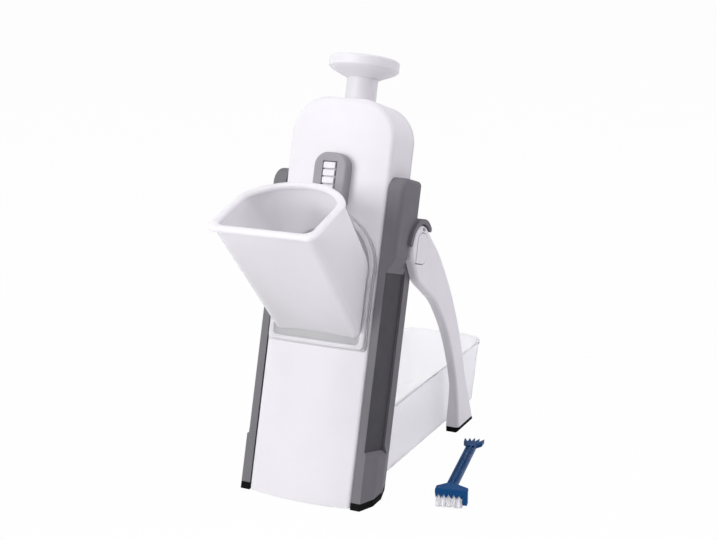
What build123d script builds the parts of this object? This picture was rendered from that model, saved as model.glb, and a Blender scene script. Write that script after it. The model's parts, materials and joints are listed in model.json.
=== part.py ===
from build123d import *
import math
import os

# Upright push-down vegetable slicer. All pieces of the leaning body are drawn upright, with x across,
# y to the back and z up the body, from the middle of the front feet's front edge. stand() then leans
# them back. The legs, the container and the brush are drawn as they stand on the table.

# Stance
lean_angle = 15.9
origin_setback = 115.0

# Fits shared by many pieces
overrun = 8.0
stock_size = 900.0
running_gap = 0.35
pivot_gap = 0.05
seat_gap = 0.05

# Body shell; heights up the body are shares of its height
body_half_width = 45.5
body_height = 323.0
body_depth = 46.0
body_wall = 2.5
crown_radius = 31.0
front_bow = 5.0
front_edge_radius = 4.0
rear_edge_radius = 6.0
cover_depth = 7.0
side_wall_clearance = 7.6
panel_return = 8.0
panel_floor_gap = 0.8
cover_bottom_share = 0.322
lip_height = 3.0
lip_wall = 1.2
seam_width = 0.6
seam_depth = 0.5
rib_width = 4.2
rib_thickness = 2.5
boss_radius = 4.0
boss_inset = 7.5
cover_screw_shares = (0.356, 0.882)
screw_radius = 1.6
screw_head_radius = 3.2
screw_head_height = 1.8
cover_screw_length = 16.0

# Feed opening and chute
window_inset = 11.0
window_bottom_share = 0.421
window_shoulder_share = 0.588
window_apex_share = 0.656
chute_wall = 2.0
throat_inset = 7.1
throat_bottom_share = 0.4053
throat_top_share = 0.663
throat_side_share = 0.72
mouth_inset = 2.5
mouth_front_depth = 116.7
mouth_front_share = 0.6407
mouth_back_depth = 50.3
mouth_back_share = 0.7713
mouth_side_share = 0.66
mouth_corner_radius = 7.0
mouth_shoulder_radius = 20.0
rim_overhang = 2.2
rim_lip = 2.0
rim_thickness = 4.6
rim_round = 2.0
flange_inset = 2.1
flange_bottom_share = 0.384
flange_shoulder_share = 0.56
flange_apex_share = 0.721
flange_thickness = 1.6
flange_margin = 1.4
flange_border_width = 3.2
flange_border_height = 3.6
flange_corner_radius = 4.0

# Slide lock above the chute
lock_half_width = 14.2
lock_bottom_share = 0.7355
lock_top_share = 0.859
lock_crown_radius = 11.0
lock_front = 15.5
lock_edge_radius = 2.0
lock_pocket_floor = 8.0
slider_half_width = 5.0
slider_base_margin = 0.9
slider_base_thickness = 2.2
slider_bottom_share = 0.7616
slider_top_margin = 7.6
slider_travel = 4.0
slider_thickness = 5.5
slider_ridges = 4
slider_ridge_share = 0.8
slider_ridge_rise = 2.6

# Rails
rail_width = 8.5
rail_depth_inset = 1.0
rail_top_share = 0.8173
rail_crown_radius = 13.0
rail_edge_radius = 3.0
shoulder_flare = 4.5
shoulder_depth = 35.0
shoulder_neck = 24.5
shoulder_edge_radius = 4.0
pocket_floor_width = 6.5
pocket_depth_share = 0.76
pocket_bottom = 46.0
pocket_top_share = 0.579
pocket_slope = 4.3
pocket_ledge = 1.2
boot_top = 50.0
boot_shoulder = 42.0
boot_flare = 5.0
boot_front_flat = 8.0
boot_chamfer_back = 13.0
boot_side_back = 28.0
rail_foot_thickness = 5.5
rail_screw_depth_share = 0.62
rail_screw_shares = (0.33, 0.737)
rail_screw_reach = 7.5

# Leg hinge
pivot_inset = 0.3
pivot_share = 0.6542
hub_radius = 18.5
hood_gap = 0.8
hood_wall = 4.2
hood_front_angle = 176.0
hood_rear_angle = 48.0
spigot_radius = 9.0
washer_radius = 12.5
washer_thickness = 1.5
pivot_screw_radius = 2.0
pivot_screw_head_radius = 4.0
pivot_screw_head_height = 1.0
pivot_screw_length = 6.0
fold_angle = 38.0
stop_radius = 13.0
stop_pin_radius = 2.0
stop_pin_angle = -60.0
stop_groove_depth = 2.5
stop_pin_reach = 1.8

# Legs: the outline's points are shares of the pivot's height, back and down from the pivot
leg_thickness = 7.25
leg_edge_radius = 3.2
leg_foot_thickness = 5.0
leg_foot_reach = 4.35
leg_foot_block = 9.0
leg_foot_flare_share = 0.24
leg_rear_tangent_angle = 45.0
leg_front_tangent_angle = 208.0
leg_heel_shares = (-0.034, 0.141)
leg_front_bend_shares = (0.152, 0.267)
leg_front_mid_shares = (0.346, 0.524)
leg_front_end_shares = (0.455, 0.853)
leg_foot_shares = (0.466, 0.67)
leg_rear_bend_shares = (0.199, 0.06)
leg_rear_mid_shares = (0.403, 0.361)
leg_rear_end_shares = (0.545, 0.717)
leg_heel_radius = 22.0
leg_bend_radius = 60.0

# Release buttons in the leg hubs
button_radius = 13.0
button_flat = 10.0
button_foot = 12.0
button_gap = 0.6
button_centre_down = 1.0
button_thickness = 3.2
button_travel = 2.0
button_proud = 0.5
button_edge_radius = 0.8
button_spring_coils = 3
button_spring_radius = 3.0
button_spring_wire = 0.25
button_spring_well = 1.6
hub_eye_length = 6.0
hub_eye_width = 2.6
hub_eye_up = 15.0
hub_eye_depth = 3.2

# Plunger
stem_front_gap = 4.6
stem_back_gap = 0.7
stem_wall = 2.7
stem_bottom_share = 0.6935
knob_rise = 19.5
knob_plug = 10.0
knob_radius = 28.8
knob_flare_radius = 25.4
knob_flare_height = 5.6
knob_edge_height = 8.4
knob_rim_height = 5.9
knob_crown_height = 2.2
knob_shoulder_radius = 26.6
knob_root_width = 0.5
post_bore_share = 0.431
post_flange_clearance = 2.3
post_flange_height = 2.0
post_top_share = 0.929
spring_coils = 7
spring_wire = 0.8
spring_clearance = 2.4
wire_sides = 4
shelf_top_share = 0.675
shelf_thickness = 4.0
shelf_margin = 2.7
shelf_half_width = 20.0

# Blade carriage
carriage_front = 4.0
carriage_thickness = 4.0
carriage_top_share = 0.7183
bracket_bottom_share = 0.6873
bracket_wall = 2.7
blade_edge_share = 0.3653
blade_vee = 12.0
blade_height = 16.0
blade_thickness = 0.8
blade_inset = 5.6
blade_bevel = 3.0
blade_bevel_depth = 0.6
blade_reach = 4.0
blade_screw_x_shares = (-0.75, -0.3, 0.3, 0.75)
blade_screw_rise = 10.5
blade_screw_radius = 1.4
blade_screw_length = 3.0

# Thickness setting
plate_side_gap = 0.8
plate_front = 13.0
plate_thickness = 3.0
plate_bottom_share = 0.3777
plate_top_share = 0.6563
plate_boss_radius = 9.0
plate_boss_clearance = 2.4
plate_travel = 4.0
setting_share = 0.514
setting_screw_radius = 5.0
setting_tip_clearance = 2.0
setting_collar_radius = 8.0
setting_collar_length = 3.0
dial_radius = 23.0
dial_thickness = 13.0
dial_gap = 0.4
dial_cap = 4.4
dial_edge_chamfer = 1.5
dial_flutes = 12
dial_flute_radius = 3.2
dial_pointer_width = 3.0
dial_pointer_length = 12.0
dial_pointer_depth = 1.0
dial_screw_radius = 1.5
dial_screw_head_radius = 3.6
dial_screw_head_height = 1.6
dial_screw_length = 8.0

# Catch container, as it stands on the table
bin_side_draft = 4.45
bin_front_bottom = 18.0
bin_front_top = 30.0
bin_back_bottom = 295.0
bin_back_top = 303.0
bin_height = 57.0
bin_wall = 1.6
bin_floor = 1.8
bin_front_corner = 14.0
bin_back_bottom_corner = 18.0
bin_back_top_corner = 22.0
bin_rim_width = 0.8
bin_rim_height = 1.8

# Cleaning brush, drawn about the middle of its bristle tips with its handle along +y
brush_x = 112.9
brush_y = 40.8
brush_turn = 12.5
brush_head_half_width = 11.0
brush_head_half_depth = 4.5
brush_head_bottom = 12.8
brush_head_top = 16.0
brush_head_side_back = 2.0
brush_shoulder_back = 8.5
brush_edge_radius = 1.0
brush_skirt_thickness = 1.2
brush_skirt_tip = 8.2
brush_skirt_notch = 11.6
brush_prong_width = 3.6
brush_prong_depth = 5.5
brush_prong_bottom = 3.5
handle_start = 4.0
handle_root = 11.2
handle_thickness = 3.6
handle_half_width = 4.1
handle_groove_inner = 0.8
handle_groove_outer = 2.9
handle_groove_depth = 1.0
handle_groove_front = 8.0
handle_groove_back = 112.0
fork_front = 116.0
fork_root = 126.0
fork_tip = 136.0
fork_half_width = 8.0
fork_teeth = 5
fork_fan_share = 0.35
tufts = 5
tuft_pitch = 4.1
tuft_columns = 6
tuft_rows = 10
strand_width = 0.44
strand_sides = 3
strand_pitch = 0.54
strand_root = 0.6
strand_spread_share = 0.12
tuft_backing = 1.2
tuft_backing_margin = 0.4

# Sizes worked out from the driving dimensions
lean = math.radians(lean_angle)
bow_radius = (body_half_width**2 + front_bow**2) / (2 * front_bow)
bow_centre = bow_radius - front_bow
shell_inner = body_half_width - body_wall
parting_depth = body_depth - cover_depth
cover_bottom = body_height * cover_bottom_share
boss_x = body_half_width - boss_inset
window_half_width = body_half_width - window_inset
throat_half_width = body_half_width - throat_inset
throat_bottom = body_height * throat_bottom_share
throat_height = body_height * throat_top_share - throat_bottom
mouth_half_width = body_half_width - mouth_inset
mouth_front_height = body_height * mouth_front_share
mouth_back_height = body_height * mouth_back_share
lock_bottom = body_height * lock_bottom_share
lock_top = body_height * lock_top_share
slider_bottom = body_height * slider_bottom_share
slider_top = lock_top - slider_top_margin
slider_length = slider_top - slider_bottom
slider_base = slider_half_width + slider_base_margin
rail_inner = body_half_width
rail_outer = rail_inner + rail_width
rail_depth = body_depth - rail_depth_inset
rail_top = body_height * rail_top_share
rail_screw_depth = rail_depth * rail_screw_depth_share
rail_screw_heights = [body_height * share for share in rail_screw_shares]
pivot_depth = rail_depth - pivot_inset
pivot_height = body_height * pivot_share
pivot_row_y = pivot_depth * math.cos(lean) + pivot_height * math.sin(lean)
pivot_row_z = pivot_height * math.cos(lean) - pivot_depth * math.sin(lean)
leg_inner = rail_outer + running_gap
leg_outer = leg_inner + leg_thickness
leg_foot_inner = leg_inner - leg_foot_reach
hood_inner = hub_radius + hood_gap
hood_outer = hood_inner + hood_wall
spigot_end = rail_inner + 2 * washer_thickness - running_gap
button_well = button_thickness + button_travel + seat_gap - button_proud
carriage_half_width = shell_inner - running_gap
carriage_back = carriage_front + carriage_thickness
carriage_top = body_height * carriage_top_share
bracket_bottom = body_height * bracket_bottom_share
blade_edge = body_height * blade_edge_share
blade_half_width = carriage_half_width - blade_inset
guide_front = carriage_back + running_gap
guide_back = guide_front + rib_thickness
stem_radius = (parting_depth - carriage_back - stem_front_gap - stem_back_gap) / 2
stem_inner = stem_radius - stem_wall
stem_depth = parting_depth - stem_radius - stem_back_gap
stem_bottom = body_height * stem_bottom_share
bracket_radius = stem_radius + bracket_wall
knob_bottom = body_height + knob_rise
knob_top = knob_bottom + knob_edge_height + knob_rim_height + knob_crown_height
spring_radius = stem_inner - spring_wire - spring_clearance
post_radius = stem_inner * post_bore_share
post_flange_radius = stem_inner - post_flange_clearance
shelf_top = body_height * shelf_top_share
shelf_front = stem_depth - post_flange_radius - shelf_margin
plate_half_width = shell_inner - rib_width - plate_side_gap
plate_back = plate_front + plate_thickness
setting_height = body_height * setting_share
setting_collar_back = body_depth - body_wall - seat_gap
setting_collar_front = setting_collar_back - setting_collar_length
setting_screw_tip = plate_back + plate_travel + setting_tip_clearance
plate_boss_back = setting_collar_front - plate_travel - plate_boss_clearance
dial_front = body_depth + dial_gap
dial_back = dial_front + dial_thickness
setting_screw_end = dial_back - dial_cap
bin_top_half_width = rail_inner - running_gap - bin_rim_width
bin_bottom_half_width = bin_top_half_width - bin_side_draft
side_wall_bottom = (bin_height + body_depth * math.sin(lean)) / math.cos(lean) + side_wall_clearance


def stand(piece):
    """Lean a piece of the body back and move it to the part's origin."""
    return Pos(0, -origin_setback, 0) * (Rot(-lean_angle, 0, 0) * piece)


def place(piece):
    """Move a piece that is drawn as it stands on the table to the part's origin."""
    return Pos(0, -origin_setback, 0) * piece


def closed_face(*curves):
    """One flat face from lines and arcs that meet end to end."""
    return make_face([edge for curve in curves for edge in curve.edges()])


def front_prism(face, y_from, y_to):
    """Extrude an outline drawn in x and z between two depths."""
    return extrude(Plane.XZ.offset(-y_to) * face, y_to - y_from)


def plan_prism(face, z_from, z_to):
    """Extrude an outline drawn in x and y between two heights."""
    return extrude(Plane.XY.offset(z_from) * face, z_to - z_from)


def side_prism(face, x_from, x_to):
    """Extrude an outline drawn in y and z between two places across the part."""
    return extrude(Plane.YZ.offset(x_from) * face, x_to - x_from)


def block(x_range, y_range, z_range):
    """A box between three pairs of limits."""
    sizes = [high - low for low, high in (x_range, y_range, z_range)]
    centre = [(high + low) / 2 for low, high in (x_range, y_range, z_range)]
    return Pos(*centre) * Box(*sizes)


def rod(axis, start, radius, length):
    """A cylinder from a start point along +x, +y or +z."""
    turn = {"x": Rot(0, 90, 0), "y": Rot(-90, 0, 0), "z": Rot(0, 0, 0)}[axis]
    return Pos(*start) * (turn * Cylinder(radius, length, align=(Align.CENTER, Align.CENTER, Align.MIN)))


def above_table(piece, z_low):
    """What a placed piece has above a height over the table."""
    return piece - Pos(0, 0, z_low - stock_size / 2) * Box(stock_size, stock_size, stock_size)


def domed_face(half_width, bottom, top, radius):
    """An upright outline with two rounded top corners."""
    shoulder = top - radius
    inner = half_width - radius
    left, right = -half_width, half_width
    sides = Polyline((left, shoulder), (left, bottom), (right, bottom), (right, shoulder))
    right_arc = CenterArc((inner, shoulder), radius, 0, 90)
    roof = Line((inner, top), (-inner, top))
    left_arc = CenterArc((-inner, shoulder), radius, 90, 90)
    return closed_face(sides, right_arc, roof, left_arc)


def arch_face(half_width, bottom, shoulder, apex):
    """An outline with a flat foot, straight sides and an arched top."""
    left, right = -half_width, half_width
    sides = Polyline((left, shoulder), (left, bottom), (right, bottom), (right, shoulder))
    crown = ThreePointArc((right, shoulder), (0, apex), (left, shoulder))
    return closed_face(sides, crown)


def bow_y(x, offset):
    """Depth of the bowed front, or of a surface an offset in front of it, at a place across the body."""
    return bow_centre - math.sqrt((bow_radius + offset) ** 2 - x**2)


def bow_solid(offset):
    """Everything behind the bowed front, or behind a surface an offset in front of it."""
    reach = body_half_width + overrun
    back = body_depth + overrun
    side = bow_y(reach, offset)
    front = ThreePointArc((-reach, side), (0, bow_y(0, offset)), (reach, side))
    sides = Polyline((reach, side), (reach, back), (-reach, back), (-reach, side))
    return plan_prism(closed_face(front, sides), -body_depth, body_height + overrun)


def bow_band(low, high):
    """The layer in front of the bowed front between two offsets."""
    return bow_solid(high) - bow_solid(low)


def inner_prism(inset, y_from, y_to):
    """The body's outline an inset smaller, between two depths."""
    face = domed_face(
        body_half_width - inset, -body_depth, body_height - inset, crown_radius - inset
    )
    return front_prism(face, y_from, y_to)


def body_envelope(inset):
    """The body's outer form, or its inside a wall deeper."""
    return inner_prism(inset, -front_bow - overrun, body_depth - inset) & bow_solid(-inset)


def rim_edges(face):
    """A body face's edges apart from its foot."""
    return [edge for edge in face.edges() if edge.center().Z > 0]


def body_hull():
    """The hollow body before it is parted into shell and cover."""
    outer = body_envelope(0)
    outer = fillet(rim_edges(outer.faces().sort_by(Axis.Y)[0]), front_edge_radius)
    outer = fillet(rim_edges(outer.faces().sort_by(Axis.Y)[-1]), rear_edge_radius)
    seam = (parting_depth - seam_width / 2, parting_depth + seam_width / 2)
    outer -= inner_prism(-overrun, *seam) - inner_prism(seam_depth, *seam)
    return outer - body_envelope(body_wall)


def full_width(y_range, z_range):
    """A block wider than the body."""
    reach = body_half_width + overrun
    return block((-reach, reach), y_range, z_range)


def cover_screw_places():
    """Where the cover's screws stand, across and up the body."""
    return [(side * boss_x, body_height * share) for side in (-1, 1) for share in cover_screw_shares]


def make_front_shell(hull):
    """Bowed front panel with domed head, open to the back and below."""
    top = body_height + overrun
    shell = hull - full_width((parting_depth, body_depth + overrun), (-body_depth, top))
    shell -= full_width((panel_return, parting_depth), (-body_depth, side_wall_bottom))
    for side in (-1, 1):
        rib_x = sorted((side * (shell_inner - rib_width), side * (shell_inner + seat_gap)))
        shell += block(rib_x, (guide_front, guide_back), (side_wall_bottom, body_height - crown_radius))
    for x, z in cover_screw_places():
        shell += rod("y", (x, guide_front, z), boss_radius, parting_depth - guide_front)
    for x, z in cover_screw_places():
        start = parting_depth - cover_screw_length
        shell -= rod("y", (x, start, z), screw_radius + seat_gap, cover_screw_length + overrun)
    shares = (window_bottom_share, window_shoulder_share, window_apex_share)
    opening = arch_face(window_half_width, *(body_height * share for share in shares))
    shell -= front_prism(opening, -front_bow - overrun, carriage_front)
    stem_hole = stem_radius + running_gap
    shell -= rod("z", (0, stem_depth, body_height - crown_radius), stem_hole, crown_radius + overrun)
    for side in (-1, 1):
        for z in rail_screw_heights:
            start = min(side * (shell_inner - overrun), side * (rail_inner + overrun))
            shell -= rod("x", (start, rail_screw_depth, z), screw_radius + seat_gap, body_wall + 2 * overrun)
    return above_table(stand(shell), panel_floor_gap)


def make_rear_cover(hull):
    """Back of the body, with the spring shelf, the dial's bush and a locating lip."""
    reach = body_half_width + overrun
    top = body_height + overrun
    cover = hull - full_width((-front_bow - overrun, parting_depth), (-body_depth, top))
    cover -= full_width((parting_depth, body_depth + overrun), (-body_depth, cover_bottom))
    inside = body_depth - body_wall
    lip_range = (parting_depth - lip_height, inside + seat_gap)
    low_screw, high_screw = (body_height * share for share in cover_screw_shares)
    lip_low = low_screw + boss_radius + running_gap
    lip_high = high_screw - boss_radius - running_gap
    lip_inset = body_wall + seat_gap
    lip = inner_prism(lip_inset, *lip_range) - inner_prism(lip_inset + lip_wall, *lip_range)
    cover += lip & block((-reach, reach), lip_range, (lip_low, lip_high))
    cover += block(
        (-shelf_half_width, shelf_half_width),
        (shelf_front, inside + seat_gap),
        (shelf_top - shelf_thickness, shelf_top),
    )
    bush_radius = setting_screw_radius + pivot_gap
    cover -= rod("y", (0, inside - overrun, setting_height), bush_radius, body_wall + 2 * overrun)
    for x, z in cover_screw_places():
        cover -= rod("y", (x, parting_depth - lip_height, z), screw_radius + seat_gap, body_depth)
        head_start = body_depth - screw_head_height
        cover -= rod("y", (x, head_start, z), screw_head_radius + seat_gap, screw_head_height + overrun)
        boss_length = head_start - parting_depth
        cover += tube_y((x, parting_depth, z), boss_radius, screw_radius + seat_gap, boss_length)
    return stand(cover)


def tube_y(start, outer, inner, length):
    """A short round sleeve along y."""
    return rod("y", start, outer, length) - rod("y", start, inner, length)


def make_cover_screws():
    """Screws that hold the rear cover to the shell's bosses."""
    screws = []
    for x, z in cover_screw_places():
        start = parting_depth - cover_screw_length + seat_gap
        shank_length = body_depth - screw_head_height - start
        shank = rod("y", (x, start, z), screw_radius, shank_length)
        head = rod("y", (x, body_depth - screw_head_height, z), screw_head_radius, screw_head_height)
        screws.append(stand(shank + head))
    return Compound(children=screws)


def make_rail_screws():
    """Screws from inside the shell into the rails."""
    screws = []
    for side in (-1, 1):
        for z in rail_screw_heights:
            screw = rod("x", (shell_inner, rail_screw_depth, z), screw_radius, rail_screw_reach)
            head_x = shell_inner - screw_head_height
            screw += rod("x", (head_x, rail_screw_depth, z), screw_head_radius, screw_head_height)
            screws.append(stand(screw if side > 0 else mirror(screw, about=Plane.YZ)))
    return Compound(children=screws)


def boot_face(flare):
    """Plan of the rail's foot end, flared outwards between two tapers."""
    outer = rail_outer + flare
    return make_face(
        Polyline(
            (rail_inner, 0),
            (rail_inner + boot_front_flat, 0),
            (outer, boot_chamfer_back),
            (outer, boot_side_back),
            (rail_outer, rail_depth),
            (rail_inner, rail_depth),
            close=True,
        )
    )


def front_edges(piece):
    """The edges of a rail form's outer face at its front and round its crown."""
    outer = piece.faces().sort_by(Axis.X)[-1]
    return [edge for edge in outer.edges() if edge.center().Y < rail_crown_radius]


def rail_side(bottom, back_line, outer, edge_radius):
    """A rail form with a rounded front and crown, closed at the back by a line from its top to its foot."""
    top_flat = rail_top - rail_crown_radius
    outline = closed_face(
        Polyline((0, top_flat), (0, bottom), *back_line, (rail_crown_radius, rail_top)),
        CenterArc((rail_crown_radius, top_flat), rail_crown_radius, 90, 90),
    )
    form = side_prism(outline, rail_inner, outer)
    return fillet(front_edges(form), edge_radius)


def rail_blank():
    """The right rail with its wide shoulder and its boot, run on below the table."""
    straight_back = [(rail_depth, -body_depth), (rail_depth, rail_top)]
    rail = rail_side(-body_depth, straight_back, rail_outer, rail_edge_radius)
    pocket_top = body_height * pocket_top_share
    neck = [(shoulder_neck, pocket_top), (shoulder_neck, pivot_height)]
    back = [(shoulder_depth, pivot_height), (shoulder_depth, rail_top)]
    shoulder = rail_side(pocket_top, neck + back, rail_outer + shoulder_flare, shoulder_edge_radius)
    shoulder -= rod("x", (rail_outer, pivot_depth, pivot_height), hood_inner, shoulder_flare + overrun)
    boot = plan_prism(boot_face(boot_flare), -body_depth, boot_shoulder)
    boot_end = Plane.XY.offset(boot_top) * boot_face(0)
    boot += loft([Plane.XY.offset(boot_shoulder) * boot_face(boot_flare), boot_end], ruled=True)
    floor_x = rail_inner + pocket_floor_width
    lip_x = rail_outer + boot_flare + shoulder_flare + overrun
    spread = (lip_x - floor_x) / (rail_outer - floor_x)
    pocket = make_face(
        Polyline(
            (floor_x, pocket_bottom),
            (floor_x, pocket_top),
            (lip_x, pocket_top + pocket_slope * spread),
            (lip_x, pocket_bottom - pocket_ledge * spread),
            close=True,
        )
    )
    return rail + shoulder + boot - front_prism(pocket, -overrun, rail_depth * pocket_depth_share)


def make_rail(blank):
    """Right rail with the hinge lug, hood, pivot bore and stop groove."""
    centre = (pivot_depth, pivot_height)
    rail = blank + rod("x", (rail_inner, *centre), hood_outer, rail_width)
    hood_arc = hood_front_angle - hood_rear_angle
    hood = SlotArc(
        CenterArc((0, 0), (hood_inner + hood_outer) / 2, hood_rear_angle, hood_arc), hood_wall
    )
    rail += side_prism(Pos(*centre) * hood, rail_outer - seat_gap, leg_outer)
    rail -= rod("x", (rail_inner - overrun, *centre), spigot_radius + pivot_gap, rail_width + 2 * overrun)
    counterbore = 2 * washer_thickness
    rail -= rod("x", (rail_inner - overrun, *centre), washer_radius + running_gap, counterbore + overrun)
    groove_start = stop_pin_angle + lean_angle - fold_angle
    groove = SlotArc(
        CenterArc((0, 0), stop_radius, groove_start, fold_angle), 2 * (stop_pin_radius + running_gap)
    )
    rail -= side_prism(Pos(*centre) * groove, rail_outer - stop_groove_depth, rail_outer + seat_gap)
    for z in rail_screw_heights:
        reach = rail_screw_reach + seat_gap
        rail -= rod("x", (shell_inner, rail_screw_depth, z), screw_radius + seat_gap, reach)
    return above_table(stand(rail), rail_foot_thickness)


def table_slice(piece, thickness):
    """The slice of a placed piece between the table and a height over it."""
    return above_table(piece, 0) - above_table(piece, thickness)


def polar(radius, angle):
    """A point on a circle about the pivot."""
    return radius * math.cos(math.radians(angle)), radius * math.sin(math.radians(angle))


def vertices_at(face, *points):
    """The corners of a face that lie at the given points."""
    return [v for v in face.vertices() if any(math.dist((v.X, v.Y), point) < seat_gap for point in points)]


def leg_outline():
    """Side view of a leg about its pivot: a round hub and a curved arm that widens to its foot."""
    heel, front_bend, front_mid, front_end, rear_bend, rear_mid, rear_end = (
        (pivot_row_z * back, -pivot_row_z * down)
        for back, down in (
            leg_heel_shares,
            leg_front_bend_shares,
            leg_front_mid_shares,
            leg_front_end_shares,
            leg_rear_bend_shares,
            leg_rear_mid_shares,
            leg_rear_end_shares,
        )
    )
    toe, tail = ((pivot_row_z * share, -pivot_row_z) for share in leg_foot_shares)
    hub_front = polar(hub_radius, leg_front_tangent_angle)
    hub_rear = polar(hub_radius, leg_rear_tangent_angle)
    front = Polyline(hub_front, heel, front_bend)
    front_arc = ThreePointArc(front_bend, front_mid, front_end)
    foot = Polyline(front_end, toe, tail, rear_end)
    rear_arc = ThreePointArc(rear_end, rear_mid, rear_bend)
    shoulder = Polyline(rear_bend, hub_rear, hub_front)
    arm = closed_face(front, front_arc, foot, rear_arc, shoulder)
    arm = fillet(vertices_at(arm, heel), leg_heel_radius)
    arm = fillet(vertices_at(arm, front_bend, rear_end), leg_bend_radius)
    return Circle(hub_radius) + arm


def button_face(gap):
    """Outline of a release button, round with one square corner, or of its well a gap wider."""
    left, low = -button_flat - gap, -button_foot - gap
    corner = make_face(Polyline((left, low), (0, low), (0, 0), (left, 0), close=True))
    reach = button_radius + overrun
    flat = Pos(left - reach / 2, 0) * Rectangle(reach, 2 * reach)
    foot = Pos(0, low - reach / 2) * Rectangle(2 * reach, reach)
    outline = Circle(button_radius + gap) + corner - flat - foot
    return Rot(0, 0, -lean_angle) * (Pos(0, -button_centre_down) * outline)


def leg_blank():
    """The right leg, run down to the table, about its place in the row."""
    outline = Pos(pivot_row_y, pivot_row_z) * leg_outline()
    leg = side_prism(outline, leg_inner, leg_outer)
    leg = fillet(leg.faces().sort_by(Axis.X)[-1].outer_wire().edges(), leg_edge_radius)
    flare_top = pivot_row_z * leg_foot_flare_share
    flare = make_face(
        Polyline(
            (leg_foot_inner, 0),
            (leg_inner + seat_gap, 0),
            (leg_inner + seat_gap, flare_top),
            (leg_inner, flare_top),
            (leg_foot_inner, leg_foot_block),
            close=True,
        )
    )
    foot = front_prism(flare, pivot_row_y, pivot_row_y + pivot_row_z)
    arm = side_prism(outline, leg_foot_inner, leg_inner + seat_gap)
    return leg + (foot & arm)


def make_leg(blank):
    """Right leg with its pivot spigot, button well and stop pin's hole."""
    centre = (pivot_row_y, pivot_row_z)
    leg = blank + rod("x", (spigot_end, *centre), spigot_radius, leg_inner + seat_gap - spigot_end)
    well = Pos(*centre) * button_face(button_gap)
    leg -= side_prism(well, leg_outer - button_well, leg_outer + overrun)
    screw_bore = pivot_screw_radius + seat_gap
    leg -= rod("x", (spigot_end - overrun, *centre), screw_bore, pivot_screw_length + overrun)
    stop_y, stop_z = polar(stop_radius, stop_pin_angle)
    stop_place = (leg_inner - stop_pin_reach, pivot_row_y + stop_y, pivot_row_z + stop_z)
    leg += rod("x", stop_place, stop_pin_radius, stop_pin_reach + seat_gap)
    slot = Pos(0, hub_eye_up) * SlotOverall(hub_eye_length, hub_eye_width)
    eye = Pos(*centre) * (Rot(0, 0, -lean_angle) * slot)
    leg -= side_prism(eye, leg_outer - hub_eye_depth, leg_outer + overrun)
    return above_table(place(leg), leg_foot_thickness)


def make_leg_washer():
    """Washer that keeps a leg's spigot in its rail."""
    centre = (pivot_row_y, pivot_row_z)
    start = spigot_end - washer_thickness
    disc = rod("x", (start, *centre), washer_radius, washer_thickness)
    hole = rod("x", (start - overrun, *centre), pivot_screw_radius + seat_gap, 2 * overrun)
    return place(disc - hole)


def make_leg_screw():
    """Screw that holds the washer on a leg's spigot."""
    centre = (pivot_row_y, pivot_row_z)
    seat = spigot_end - washer_thickness
    head_start = (seat - pivot_screw_head_height, *centre)
    head = rod("x", head_start, pivot_screw_head_radius, pivot_screw_head_height)
    return place(head + rod("x", (seat, *centre), pivot_screw_radius, pivot_screw_length))


def make_button():
    """Release button with a well for its spring on the inner side."""
    start = leg_outer + button_proud - button_thickness
    face = Pos(pivot_row_y, pivot_row_z) * button_face(0)
    button = side_prism(face, start, start + button_thickness)
    button = fillet(button.faces().sort_by(Axis.X)[-1].outer_wire().edges(), button_edge_radius)
    spring_clear = button_spring_radius + button_spring_wire + running_gap
    centre = (pivot_row_y, pivot_row_z - button_centre_down)
    return place(button - rod("x", (start - overrun, *centre), spring_clear, button_spring_well + overrun))


def coil(radius, wire, height, turns):
    """An unbroken helical wire along z, of half-turn arcs that meet with one tangent."""
    rise = height / turns
    arcs = []
    for half in range(2 * turns):
        side = 1 if half % 2 == 0 else -1
        low = half * rise / 2
        start = (side * radius, 0, low)
        middle = (0, side * radius, low + rise / 4)
        arcs.append(ThreePointArc(start, middle, (-side * radius, 0, low + rise / 2)))
    path = Wire(arcs)
    section = Plane(origin=path @ 0, z_dir=path % 0) * RegularPolygon(wire, wire_sides)
    return sweep(section, path=path)


def coil_gap(radius, wire, height, turns):
    """Least clear distance between turns, measured on points of the wire at least half a turn apart."""
    steps = 36
    rise = height / turns / steps
    points = [(*polar(radius, 360 * n / steps), rise * n) for n in range(2 * steps + 1)]
    half = steps // 2
    gaps = [math.dist(a, b) for n, a in enumerate(points) for b in points[n + half:]]
    return min(gaps) - 2 * wire


def make_button_spring():
    """Return spring between a button and the floor of its well."""
    floor = leg_outer - button_well
    top = leg_outer + button_proud - button_thickness + button_spring_well
    length = top - floor - 2 * button_spring_wire - 2 * seat_gap
    wire = coil(button_spring_radius, button_spring_wire, length, button_spring_coils)
    gap = coil_gap(button_spring_radius, button_spring_wire, length, button_spring_coils)
    print("button spring gap", gap)
    start = floor + button_spring_wire + seat_gap
    return place(Pos(start, pivot_row_y, pivot_row_z - button_centre_down) * (Rot(0, 90, 0) * wire))


def mouth_face(half_width, length, side_share):
    """The chute's D-shaped section: flat front, straight sides and an arched back."""
    face = arch_face(half_width, 0, length * side_share, length)
    corners = face.vertices().sort_by(Axis.Y)
    face = fillet(corners[:2], mouth_corner_radius)
    shoulders = [v for v in face.vertices() if abs(v.Y - length * side_share) < seat_gap]
    return fillet(shoulders, mouth_shoulder_radius)


def mouth_plane():
    """The plane of the chute's rim, with its middle front edge as origin."""
    slope = (0, mouth_front_depth - mouth_back_depth, mouth_back_height - mouth_front_height)
    normal = (0, -slope[2], slope[1])
    return Plane(origin=(0, -mouth_front_depth, mouth_front_height), x_dir=(1, 0, 0), z_dir=normal)


def mouth_length():
    """Length of the chute's mouth from front to back."""
    return math.hypot(mouth_front_depth - mouth_back_depth, mouth_back_height - mouth_front_height)


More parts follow.
